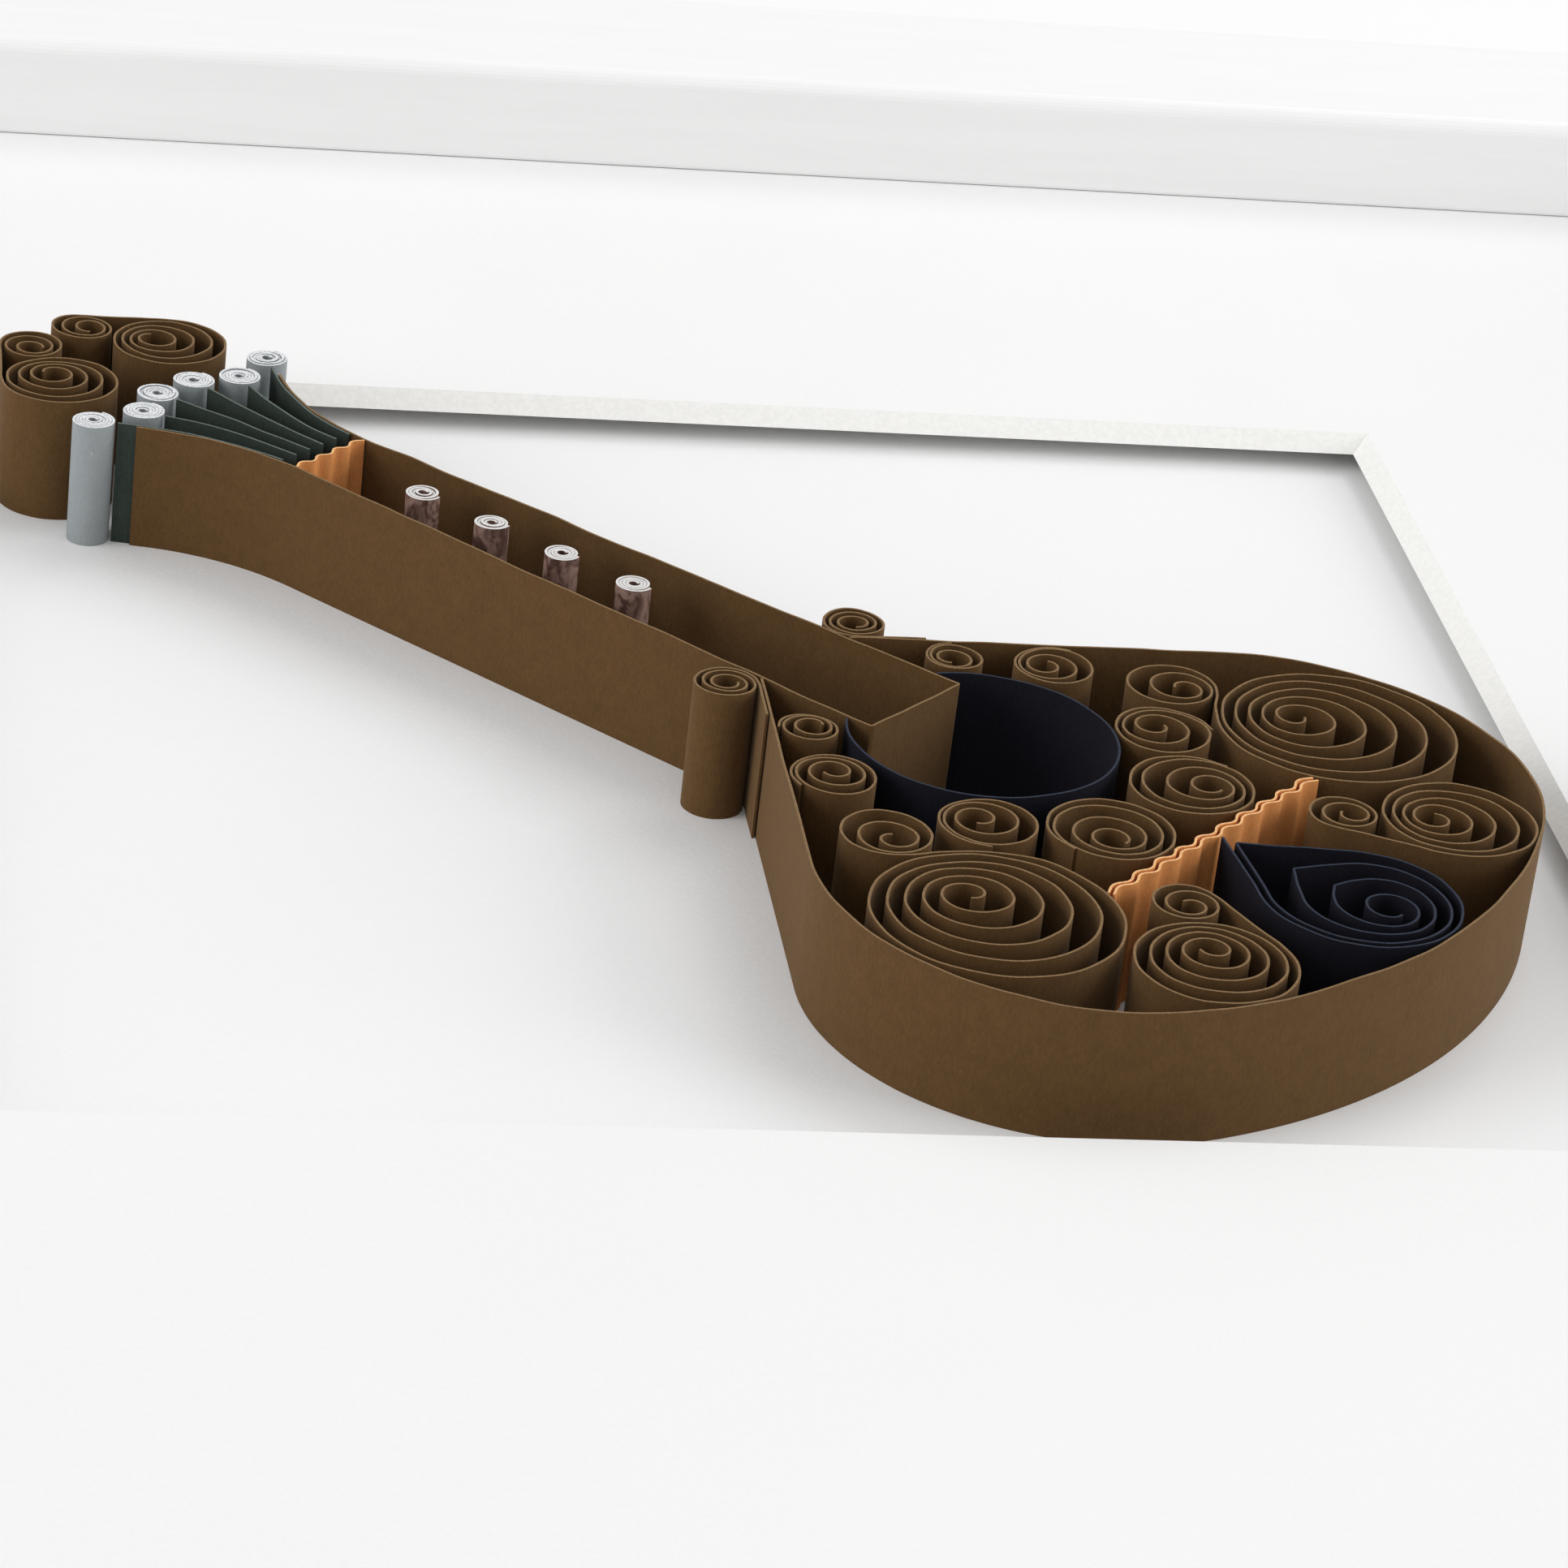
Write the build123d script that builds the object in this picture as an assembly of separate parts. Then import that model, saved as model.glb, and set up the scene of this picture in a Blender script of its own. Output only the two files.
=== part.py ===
from build123d import *
import os
from math import acos, atan2, cos, degrees, radians, sin, sqrt, tan

# A paper guitar, quilled from strips that stand on edge, glued to a card behind a bevelled window mat
# in a white box frame. The frame lies on its back: +Z is the front, +Y the top and +X the right side.
# The origin is the middle of the frame's back plane. All sizes are millimetres.

# Frame rails, from the outside in
RAIL_WIDTH = 22.0
RABBET_WIDTH = 4.0
WALL_HEIGHT = 9.0
RAIL_EASE = 0.8

# Boards, from the back of the frame to its front
BACK_RECESS = 6.0
PANEL_THICKNESS = 3.0
CARD_THICKNESS = 1.5
SPACER_THICKNESS = 1.6
MAT_THICKNESS = 1.4
BOARD_PLAY = 0.5

# Window mat: opening at its face, and the borders that show
WINDOW_WIDTH = 122.0
WINDOW_HEIGHT = 118.0
MAT_BORDER = 54.0
MAT_FOOT = 66.0
BEVEL_ANGLE = 45.0
SPACER_WIDTH = 18.0
SPACER_INSET = 6.0

# Framer's points that hold the boards in the rabbet
POINT_LENGTH = 13.0
POINT_WIDTH = 6.0
POINT_THICKNESS = 0.5
POINT_BURIED = 6.0
POINT_SPACING = 120.0
SLOT_PLAY = 0.1

# Sawtooth hanger on the back panel
HANGER_LENGTH = 46.0
HANGER_WIDTH = 9.0
HANGER_THICKNESS = 0.8
HANGER_FOOT = 9.0
HANGER_RISE = 2.4
HANGER_BEND = 45.0
HANGER_DROP = 32.0
TOOTH_PITCH = 2.6
TOOTH_DEPTH = 1.6
TOOTH_COUNT = 9
RIVET_RADIUS = 1.2
RIVET_HEAD_RADIUS = 2.4
RIVET_HEAD = 0.7
RIVET_DEPTH = 2.0
RIVET_PLAY = 0.1
RIVET_FACETS = 12

# Quilling paper
STRIP_WIDTH = 10.0
PAPER = 0.18
GLUE = 0.12
FACETS = 12
CORE_RADIUS = 0.8
HELD_TURN = 0.5
LEAN = 0.4

# Instrument, along u from head to tail and v across, from the middle of the window. The bouts keep
# a clearance from the window's edges, and the head spans from the nut to the window's corner
ART_TURN = -45.0
ART_CLEARANCE = 2.9
BOUT_V = 11.0
BOUT_RADIUS = 19.6
TAIL_RADIUS = 45.0
SHOULDER_ANGLE = 45.0
HEAD_SPAN = 35.8
NUT_HALF = 4.1
NECK_TIP_AHEAD = 23.4
NECK_TIP_HALF = 5.3
FLARE_LENGTH = 12.6
FLARE_RISE = 4.1
FLARE_STEPS = 6
HOLE_AHEAD = 17.4
HOLE_RADIUS = 9.8
BRIDGE_BEHIND = 2.5
BRIDGE_LENGTH = 25.8
BRIDGE_PLY_PITCH = 0.45
RIDGE_PITCH = 2.6
RIDGE_HEIGHT = 0.45
NUT_RIDGE_PITCH = 1.9

# Rolls of paper wound tight, and the frets' shares of the neck's length
ROLL_FACETS = 20
EYE_RADIUS = 0.4
EYE_FACETS = 8
FRET_COUNT = 4
FRET_FIRST_SHARE = 0.17
FRET_STEP_SHARE = 0.122
FRET_RADIUS = 1.53
PEG_RADIUS = 1.84

# Fan of strips from the nut to the pegs: each one's share of the neck's width, and its length past it
FAN_START = 1.3
FAN_STRIPS = {"outer": (1.0, 1.7), "middle": (0.6, 0.1), "inner": (0.2, 1.7)}

# Loose scrolls: sizes and turns
EAR_RADIUS = 2.3
EAR_TURNS = 3.0
EAR_TAIL = 5.0
HEAD_COIL_RADIUS = 4.5
HEAD_COIL_V = 6.2
HEAD_COIL_TURNS = 4.0
CROWN_COIL_RADIUS = 2.4
CROWN_COIL_TURNS = 2.5
CROWN_BEARING = 207.0
TEARDROP_POINT = 52.0
TEARDROP_TURNS = 4.5

# Directions on the instrument, in degrees from u towards v
TAILWARD = 0.0
HEADWARD = 180.0
OUTWARD = 90.0

# Coils that fill the body. Each is placed from what it lies beside, and let out to fill its pocket:
# a bearing in degrees, a distance, and the turns wound
SIDE_COIL = (95.5, 10.35, 5.5)
SIDE_SMALL_COIL = (198.0, 3.6, 2.5)
TAIL_COIL = (19.0, 13.8, 4.5)
TAIL_SMALL_COIL = (223.0, 2.7, 2.25)
WAIST_COIL_V = 5.0
WAIST_COIL_TURNS = 3.75
WAIST_COIL_LEAN = 45.0
HOLE_COILS = {
    "shoulder_coil": (135.0, 2.8, 2.5),
    "rim_coil": (103.0, 4.0, 3.0),
    "notch_coil": (52.0, 3.9, 3.0),
}
HOLE_COIL_LEAN = 120.0

# Depths of the frame
PANEL_BACK = BACK_RECESS
CARD_BACK = PANEL_BACK + PANEL_THICKNESS
CARD_FACE = CARD_BACK + CARD_THICKNESS
MAT_BACK = CARD_FACE + SPACER_THICKNESS
MAT_FACE = MAT_BACK + MAT_THICKNESS
RAIL_FRONT = MAT_FACE + WALL_HEIGHT

# Plan of the frame
SIGHT_WIDTH = WINDOW_WIDTH + 2 * MAT_BORDER
SIGHT_HEIGHT = WINDOW_HEIGHT + MAT_BORDER + MAT_FOOT
FRAME_WIDTH = SIGHT_WIDTH + 2 * RAIL_WIDTH
FRAME_HEIGHT = SIGHT_HEIGHT + 2 * RAIL_WIDTH
BOARD_WIDTH = SIGHT_WIDTH + 2 * (RABBET_WIDTH - BOARD_PLAY)
BOARD_HEIGHT = SIGHT_HEIGHT + 2 * (RABBET_WIDTH - BOARD_PLAY)
WINDOW_RISE = (MAT_FOOT - MAT_BORDER) / 2

# Plan of the instrument, which runs across the window by RUN_X and down it by RUN_Y
HALF = PAPER / 2
BEVEL_REACH = MAT_THICKNESS * tan(radians(BEVEL_ANGLE))
ROOM_X = WINDOW_WIDTH / 2 - BEVEL_REACH - ART_CLEARANCE
ROOM_Y = WINDOW_HEIGHT / 2 - BEVEL_REACH - ART_CLEARANCE
RUN_X = cos(radians(ART_TURN))
RUN_Y = -sin(radians(ART_TURN))
BOUT_U = min(
    (ROOM_X - BOUT_RADIUS - HALF - BOUT_V * RUN_Y) / RUN_X,
    (ROOM_Y - BOUT_RADIUS - HALF - BOUT_V * RUN_X) / RUN_Y,
)
NUT_U = HEAD_SPAN - min(ROOM_X / RUN_X, ROOM_Y / RUN_Y)
NECK_TIP_U = BOUT_U - NECK_TIP_AHEAD
NECK_LENGTH = NECK_TIP_U - NUT_U
HOLE_U = BOUT_U - HOLE_AHEAD
BRIDGE_U = BOUT_U + BRIDGE_BEHIND
TAIL_CENTRE_U = BOUT_U - sqrt((TAIL_RADIUS - BOUT_RADIUS) ** 2 - BOUT_V**2)
TAIL_U = TAIL_CENTRE_U + TAIL_RADIUS
BRIDGE_BACK_U = BRIDGE_U + BRIDGE_PLY_PITCH / 2 + RIDGE_HEIGHT / 2 + HALF
FLARE_RADIUS = (FLARE_LENGTH**2 + FLARE_RISE**2) / (2 * FLARE_RISE)
ART = Location((0, WINDOW_RISE, CARD_FACE), (0, 0, ART_TURN))

os.makedirs("parts", exist_ok=True)


def save(name, *solids):
    """Write one named piece, which may be a group of like solids."""
    shape = solids[0] if len(solids) == 1 else Compound(children=list(solids))
    export_step(shape, f"parts/{name}.step")


def bearing(angle, length=1.0):
    """Vector of a length along an angle in degrees."""
    return Vector(length * cos(radians(angle)), length * sin(radians(angle)))


def slab(width, height, bottom, thickness):
    """Board of one thickness, centred on the frame."""
    return Pos(0, 0, bottom) * extrude(Rectangle(width, height), thickness)


# Frame rails


def rail(length):
    """Rail along X with mitred ends, its outer edge on y = 0 and its rabbet at the back."""
    rabbet_y = RAIL_WIDTH - RABBET_WIDTH
    section = Polyline(
        (0, 0),
        (rabbet_y, 0),
        (rabbet_y, MAT_FACE),
        (RAIL_WIDTH, MAT_FACE),
        (RAIL_WIDTH, RAIL_FRONT - RAIL_EASE),
        (RAIL_WIDTH - RAIL_EASE, RAIL_FRONT),
        (RAIL_EASE, RAIL_FRONT),
        (0, RAIL_FRONT - RAIL_EASE),
        close=True,
    )
    bar = extrude(Plane.YZ * make_face(section), length / 2, both=True)
    inner = length / 2 - RAIL_WIDTH
    mitre = Polyline(
        (-length / 2, 0), (length / 2, 0), (inner, RAIL_WIDTH), (-inner, RAIL_WIDTH), close=True
    )
    bar &= extrude(make_face(mitre), RAIL_FRONT)
    for x in (-POINT_SPACING / 2, POINT_SPACING / 2):
        bar -= Pos(x, rabbet_y, PANEL_BACK - POINT_THICKNESS / 2) * Box(
            POINT_WIDTH + 2 * SLOT_PLAY,
            2 * (POINT_BURIED + SLOT_PLAY),
            POINT_THICKNESS + 2 * SLOT_PLAY,
        )
    return bar


def points():
    """The two framer's points of a rail, half buried in it and half over the back panel."""
    front = [(-POINT_WIDTH / 2, 0), (POINT_WIDTH / 2, 0), (POINT_WIDTH / 2, POINT_LENGTH - POINT_WIDTH / 2)]
    tip = [(0, POINT_LENGTH), (-POINT_WIDTH / 2, POINT_LENGTH - POINT_WIDTH / 2)]
    blade = extrude(make_face(Polyline(*front, *tip, close=True)), POINT_THICKNESS)
    root_y = RAIL_WIDTH - RABBET_WIDTH - POINT_BURIED
    return [
        Pos(x, root_y, PANEL_BACK - POINT_THICKNESS) * blade
        for x in (-POINT_SPACING / 2, POINT_SPACING / 2)
    ]


SIDES = {
    "bottom_rail": (FRAME_WIDTH, Location((0, -FRAME_HEIGHT / 2, 0))),
    "right_rail": (FRAME_HEIGHT, Location((FRAME_WIDTH / 2, 0, 0), (0, 0, 90))),
    "top_rail": (FRAME_WIDTH, Location((0, FRAME_HEIGHT / 2, 0), (0, 0, 180))),
    "left_rail": (FRAME_HEIGHT, Location((-FRAME_WIDTH / 2, 0, 0), (0, 0, 270))),
}
all_points = []
for name, (length, place) in SIDES.items():
    save(name, place * rail(length))
    all_points += [place * point for point in points()]
save("retaining_points", *all_points)


# Boards


def window_cut():
    """The mat's opening, which narrows from its face to its back by the bevel."""
    face = Pos(0, WINDOW_RISE, MAT_FACE) * Rectangle(WINDOW_WIDTH, WINDOW_HEIGHT)
    return extrude(face, MAT_THICKNESS, dir=(0, 0, -1), taper=BEVEL_ANGLE)


def spacers():
    """Four foam strips that lift the mat off the card, out of sight behind it."""
    width = BOARD_WIDTH - 2 * SPACER_INSET
    height = BOARD_HEIGHT - 2 * SPACER_INSET
    across = extrude(Rectangle(width, SPACER_WIDTH), SPACER_THICKNESS)
    along = extrude(Rectangle(SPACER_WIDTH, height - 2 * SPACER_WIDTH), SPACER_THICKNESS)
    x = (width - SPACER_WIDTH) / 2
    y = (height - SPACER_WIDTH) / 2
    return [
        Pos(0, y, CARD_FACE) * across,
        Pos(0, -y, CARD_FACE) * across,
        Pos(x, 0, CARD_FACE) * along,
        Pos(-x, 0, CARD_FACE) * along,
    ]


save("window_mat", slab(BOARD_WIDTH, BOARD_HEIGHT, MAT_BACK, MAT_THICKNESS) - window_cut())
save("mat_spacers", *spacers())
save("backing_card", slab(BOARD_WIDTH, BOARD_HEIGHT, CARD_BACK, CARD_THICKNESS))


# Hanger

HANGER_Y = SIGHT_HEIGHT / 2 - HANGER_DROP
RIVET_X = (HANGER_LENGTH - HANGER_FOOT) / 2
RIVETS = [Pos(x, HANGER_Y, PANEL_BACK) for x in (-RIVET_X, RIVET_X)]


def hanger():
    """Bent steel plate, riveted by its feet, with teeth along the lower edge of its raised middle."""
    foot = HANGER_LENGTH / 2 - HANGER_FOOT
    raised = foot - HANGER_RISE / tan(radians(HANGER_BEND))
    thick = HANGER_THICKNESS
    lip = thick * tan(radians(HANGER_BEND / 2))
    outer = [
        (-HANGER_LENGTH / 2, -thick),
        (-foot - lip, -thick),
        (-raised - lip, -HANGER_RISE - thick),
        (raised + lip, -HANGER_RISE - thick),
        (foot + lip, -thick),
        (HANGER_LENGTH / 2, -thick),
    ]
    inner = [
        (HANGER_LENGTH / 2, 0),
        (foot, 0),
        (raised, -HANGER_RISE),
        (-raised, -HANGER_RISE),
        (-foot, 0),
        (-HANGER_LENGTH / 2, 0),
    ]
    plate = extrude(Plane.XZ * make_face(Polyline(*outer, *inner, close=True)), HANGER_WIDTH / 2, both=True)
    edge = -HANGER_WIDTH / 2
    notch = Polyline(
        (-TOOTH_PITCH / 2, edge), (TOOTH_PITCH / 2, edge), (0, edge + TOOTH_DEPTH), close=True
    )
    cutter = extrude(make_face(notch), -HANGER_RISE - 2 * thick)
    for index in range(TOOTH_COUNT):
        plate -= Pos((index - (TOOTH_COUNT - 1) / 2) * TOOTH_PITCH, 0, 0) * cutter
    plate = Pos(0, HANGER_Y, PANEL_BACK) * plate
    for place in RIVETS:
        plate -= place * stud(RIVET_RADIUS + RIVET_PLAY, 2 * -thick, 0)
    return plate


def stud(radius, low, high):
    """Round stud between two heights, in few facets."""
    return Pos(0, 0, low) * extrude(RegularPolygon(radius, RIVET_FACETS), high - low)


def rivet():
    """Flat-headed rivet, driven into the panel through the hanger's foot."""
    head_low = -HANGER_THICKNESS - RIVET_HEAD
    return stud(RIVET_RADIUS, head_low, RIVET_DEPTH) + stud(RIVET_HEAD_RADIUS, head_low, -HANGER_THICKNESS)


panel = slab(BOARD_WIDTH, BOARD_HEIGHT, PANEL_BACK, PANEL_THICKNESS)
for place in RIVETS:
    panel -= place * stud(RIVET_RADIUS + RIVET_PLAY, 0, RIVET_DEPTH + RIVET_PLAY)
save("back_panel", panel)
save("hanger_plate", hanger())
save("hanger_rivets", *[place * rivet() for place in RIVETS])


# Strips of paper on edge


def stand(footprint):
    """Solid of a strip that stands on the card along its footprint."""
    return ART * extrude(footprint, STRIP_WIDTH)


def ribbon(line):
    """Footprint of a strip along a line of points, with its corners mitred."""
    left = []
    right = []
    for before, here, after in zip([None] + line, line, line[1:] + [None]):
        steps = [end - start for start, end in ((before, here), (here, after)) if start and end]
        normals = [Vector(-step.Y, step.X).normalized() for step in steps]
        across = normals[0] + normals[-1]
        across = across * (HALF / (1 + normals[0].dot(normals[-1])))
        left.append(here + across)
        right.append(here - across)
    return make_face(Polyline(*left, *reversed(right), close=True))


def across_axis(line):
    """The line on the other side of the instrument's axis."""
    return [Vector(point.X, -point.Y) for point in line]


def save_pair(name, line):
    """Write the strip along a line above the axis, and its twin below."""
    save(f"{name}_upper", stand(ribbon(line)))
    save(f"{name}_lower", stand(ribbon(across_axis(line))))


# Neck, body and sound hole


def neck_half(u):
    """Half the neck's width between its straight sides."""
    return NUT_HALF + (NECK_TIP_HALF - NUT_HALF) * (u - NUT_U) / NECK_LENGTH


def flare(back, share=1.0, inset=0.0):
    """Point at a distance behind the nut, at a share of the flared head's half width."""
    half = NUT_HALF + FLARE_RADIUS - sqrt(FLARE_RADIUS**2 - back**2)
    return Vector(NUT_U - back, share * (half - inset))


def neck_side():
    """One side of the neck, from the flared head to the tip over the sound hole."""
    head = [flare(FLARE_LENGTH * step / FLARE_STEPS) for step in range(FLARE_STEPS, -1, -1)]
    return head + [Vector(NECK_TIP_U, NECK_TIP_HALF)]


def neck_block():
    """The room that the neck takes between the other strips."""
    room = HALF + GLUE
    return make_face(
        Polyline(
            (NUT_U, -NUT_HALF - room),
            (NECK_TIP_U + room, -NECK_TIP_HALF - room),
            (NECK_TIP_U + room, NECK_TIP_HALF + room),
            (NUT_U, NUT_HALF + room),
            close=True,
        )
    )


def pear(grow):
    """Body outline, grown outwards: straight shoulders, round bouts and a gently curved tail."""
    bout = BOUT_RADIUS + grow
    tail = TAIL_RADIUS + grow
    centre = Vector(BOUT_U, BOUT_V)
    tail_angle = degrees(atan2(BOUT_V, BOUT_U - TAIL_CENTRE_U))
    shoulder = centre + bearing(90 + SHOULDER_ANGLE, bout)
    apex = Vector(shoulder.X - shoulder.Y / tan(radians(SHOULDER_ANGLE)), 0)
    middle = centre + bearing((90 + SHOULDER_ANGLE + tail_angle) / 2, bout)
    corner = centre + bearing(tail_angle, bout)
    low_shoulder, low_middle, low_corner = across_axis([shoulder, middle, corner])
    return make_face(
        [
            Line(apex, shoulder),
            ThreePointArc(shoulder, middle, corner),
            ThreePointArc(corner, Vector(TAIL_CENTRE_U + tail, 0), low_corner),
            ThreePointArc(low_corner, low_middle, low_shoulder),
            Line(low_shoulder, apex),
        ]
    )


hole = Pos(HOLE_U, 0) * (Circle(HOLE_RADIUS + HALF) - Circle(HOLE_RADIUS - HALF)) - neck_block()
body = pear(HALF) - pear(-HALF) - neck_block()
neck_line = neck_side()
neck = ribbon(neck_line + across_axis(neck_line)[::-1])
save("body_outline", stand(body))
save("sound_hole_ring", stand(hole))
save("neck_strip", stand(neck))


# Ridged strips: nut and bridge


def ridged(u, length, pitch):
    """Line of a corrugated strip that runs across the instrument."""
    count = 2 * round(length / pitch)
    return [
        Vector(u + RIDGE_HEIGHT / 2 * (-1) ** index, length * (index / count - 0.5))
        for index in range(count + 1)
    ]


nut_length = 2 * (NUT_HALF - HALF - GLUE)
bridge_front = ribbon(ridged(BRIDGE_U - BRIDGE_PLY_PITCH / 2, BRIDGE_LENGTH, RIDGE_PITCH))
bridge_rear = ribbon(ridged(BRIDGE_U + BRIDGE_PLY_PITCH / 2, BRIDGE_LENGTH, RIDGE_PITCH))
save("nut_strip", stand(ribbon(ridged(NUT_U, nut_length, NUT_RIDGE_PITCH))))
save("bridge_front_strip", stand(bridge_front))
save("bridge_rear_strip", stand(bridge_rear))


# Tight rolls, and the fan of strips from the nut to the pegs


def roll(centre, radius):
    """Footprint of a tight roll: the paper's end makes a step on the outside."""
    turns = [k / ROLL_FACETS for k in range(ROLL_FACETS)]
    rim = [centre + bearing(360 * turn, radius - PAPER * turn) for turn in turns]
    end = centre + bearing(0, radius - PAPER)
    eye = Pos(centre) * RegularPolygon(EYE_RADIUS, EYE_FACETS)
    return make_face(Polyline(*rim, end, close=True)) - eye


def fan_line(share, extra):
    """Line of a fan strip, which keeps its share of the head's width and runs on straight past it."""
    steps = [FAN_START + (FLARE_LENGTH - FAN_START) * step / FLARE_STEPS for step in range(FLARE_STEPS + 1)]
    line = [flare(back, share, PAPER + GLUE) for back in steps]
    ahead = (line[-1] - line[-2]).normalized()
    return line + [line[-1] + ahead * extra]


for index in range(FRET_COUNT):
    fret = Vector(NUT_U + NECK_LENGTH * (FRET_FIRST_SHARE + FRET_STEP_SHARE * index), 0)
    save(f"fret_roll_{index + 1}", stand(roll(fret, FRET_RADIUS)))

pegs = []
for name, (share, extra) in FAN_STRIPS.items():
    line = fan_line(share, extra)
    ahead = (line[-1] - line[-2]).normalized()
    peg = line[-1] + ahead * (PEG_RADIUS + GLUE)
    pegs.append(peg)
    save_pair(f"{name}_fan_strip", line)
    save(f"{name}_peg_upper", stand(roll(peg, PEG_RADIUS)))
    save(f"{name}_peg_lower", stand(roll(across_axis([peg])[0], PEG_RADIUS)))


# Coils and scrolls


def spiral(centre, radius, turns, start, sense=1, lean=None, point=0.0, glued=False):
    """Line of a coil from its outer end inwards.

    The middle leans towards a bearing as the turns tighten. A point angle draws each turn out to a
    tip on the start bearing. A glued coil closes on itself in its first turn, and an open one keeps
    its width for part of that turn.
    """
    line = []
    closing = PAPER + GLUE if glued else 0.0
    first = 1.0 if glued else HELD_TURN
    for k in range(round(turns * FACETS) + 1):
        turn = k / FACETS
        inside = max(0.0, turn - first) / (turns - first)
        rim = radius - closing * min(turn, first)
        size = rim - (radius - closing - CORE_RADIUS) * inside
        angle = (360 * turn + 180) % 360 - 180
        tip = max(0.0, point * size / radius - abs(angle))
        shift = bearing(lean, LEAN * (radius - size)) if lean is not None else Vector()
        line.append(centre + shift + bearing(start + sense * 360 * turn, size / cos(radians(tip))))
    return line


def scroll(first, second, side, crossed):
    """Line of one strip coiled at both ends: an S if its middle crosses between the coils, else a C.

    Each end is a centre, a radius and its turns. The side is the one, +1 or -1, of the line from the
    first centre to the second on which the strip leaves the first coil.
    """
    (a, a_radius, a_turns), (b, b_radius, b_turns) = first, second
    reach = a_radius + b_radius if crossed else a_radius - b_radius
    heading = degrees(atan2(b.Y - a.Y, b.X - a.X))
    leave = heading + side * degrees(acos(reach / (b - a).length))
    arrive = leave + 180 if crossed else leave
    coil_a = spiral(a, a_radius, a_turns, leave, side, heading)
    coil_b = spiral(b, b_radius, b_turns, arrive, side if crossed else -side, heading + 180)
    return coil_a[::-1] + coil_b


def ear_line():
    """Ear scroll: a tail glued along the outside of the shoulder, coiled up beside the neck."""
    along = bearing(SHOULDER_ANGLE)
    out = bearing(SHOULDER_ANGLE + 90)
    level = Vector(BOUT_U, BOUT_V) + out * (BOUT_RADIUS + PAPER + GLUE + EAR_RADIUS)
    clear = level.Y - neck_half(level.X) - PAPER - GLUE - EAR_RADIUS
    closing = along.Y - along.X * (NECK_TIP_HALF - NUT_HALF) / NECK_LENGTH
    centre = level - along * (clear / closing)
    foot = centre - out * EAR_RADIUS
    coil = spiral(centre, EAR_RADIUS, EAR_TURNS, SHOULDER_ANGLE - 90, -1)
    return [foot + along * EAR_TAIL] + coil


def crown_line():
    """Head scroll: a large coil behind the pegs and a small one above it, on one strip."""
    peg_end = min(peg.X for peg in pegs) - PEG_RADIUS - GLUE
    large = Vector(peg_end - HEAD_COIL_RADIUS - HALF, HEAD_COIL_V)
    small = large + bearing(CROWN_BEARING, HEAD_COIL_RADIUS + CROWN_COIL_RADIUS + PAPER + GLUE)
    ends = (large, HEAD_COIL_RADIUS, HEAD_COIL_TURNS), (small, CROWN_COIL_RADIUS, CROWN_COIL_TURNS)
    return scroll(*ends, side=-1, crossed=False)


save_pair("ear_scroll", ear_line())
save_pair("head_scroll", crown_line())

# Scrolls that fill the body: each coil is let out until it meets its neighbours
AXIS = Line((HOLE_U, 0), (TAIL_U, 0))
filled = [body, hole, neck, bridge_front, bridge_rear]


def room(centre, *others):
    """Radius at which a coil about a centre would meet what is already there."""
    return min(shape.distance_to(centre) for shape in [*filled, *others]) - GLUE - HALF


def fill(name, line):
    """Write a pair of strips and count the upper one as filled."""
    filled.append(ribbon(line))
    save_pair(name, line)


def partner(end, place):
    """Second end of a scroll, beside its first: centre, radius and turns."""
    centre, radius, _ = end
    angle, reach, turns = place
    other = centre + bearing(angle, radius + reach)
    return other, min(reach - PAPER - GLUE, room(other)), turns


def teardrop():
    """Line of the pointed coil on the axis, from the bridge to the tail."""
    length = TAIL_U - BRIDGE_BACK_U - 2 * (GLUE + HALF) - HALF
    radius = length / (1 + 1 / cos(radians(TEARDROP_POINT)))
    centre = Vector(BRIDGE_BACK_U + GLUE + HALF + length - radius, 0)
    return spiral(centre, radius, TEARDROP_TURNS, HEADWARD, lean=TAILWARD, point=TEARDROP_POINT, glued=True)


def double_coil(first_place, second_place, side, crossed):
    """Line of a scroll whose first coil lies inside the bout and its second beside that one."""
    angle, distance, turns = first_place
    centre = Vector(BOUT_U, BOUT_V) + bearing(angle, distance)
    end = (centre, room(centre), turns)
    return scroll(end, partner(end, second_place), side, crossed)


filled.append(ribbon(teardrop()))
save("tail_teardrop", stand(filled[-1]))
fill("side_scroll", double_coil(SIDE_COIL, SIDE_SMALL_COIL, side=1, crossed=True))
fill("tail_scroll", double_coil(TAIL_COIL, TAIL_SMALL_COIL, side=1, crossed=False))

waist = Vector((HOLE_U + HOLE_RADIUS + BRIDGE_U - BRIDGE_PLY_PITCH / 2) / 2, WAIST_COIL_V)
waist_radius = room(waist, AXIS)
fill("waist_coil", spiral(waist, waist_radius, WAIST_COIL_TURNS, OUTWARD, lean=WAIST_COIL_LEAN, glued=True))
for name, (angle, distance, turns) in HOLE_COILS.items():
    centre = Vector(HOLE_U, 0) + bearing(angle, HOLE_RADIUS + distance)
    fill(name, spiral(centre, room(centre), turns, angle, lean=angle + HOLE_COIL_LEAN, glued=True))
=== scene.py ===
"""Looks of a framed paper guitar, quilled from strips of paper that stand on edge.

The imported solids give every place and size. The strips and rolls are rebuilt here as smooth curls of
paper that stand where their solids stand. The frame, its boards and the hanger keep their solids.
Lengths are in metres, and the spans and depths of surface patterns are in millimetres.
"""
import logging
import math
from dataclasses import dataclass, field
from enum import Enum
from typing import Any, Mapping, Sequence

import bpy
import numpy as np
from mathutils import Matrix, Vector


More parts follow.
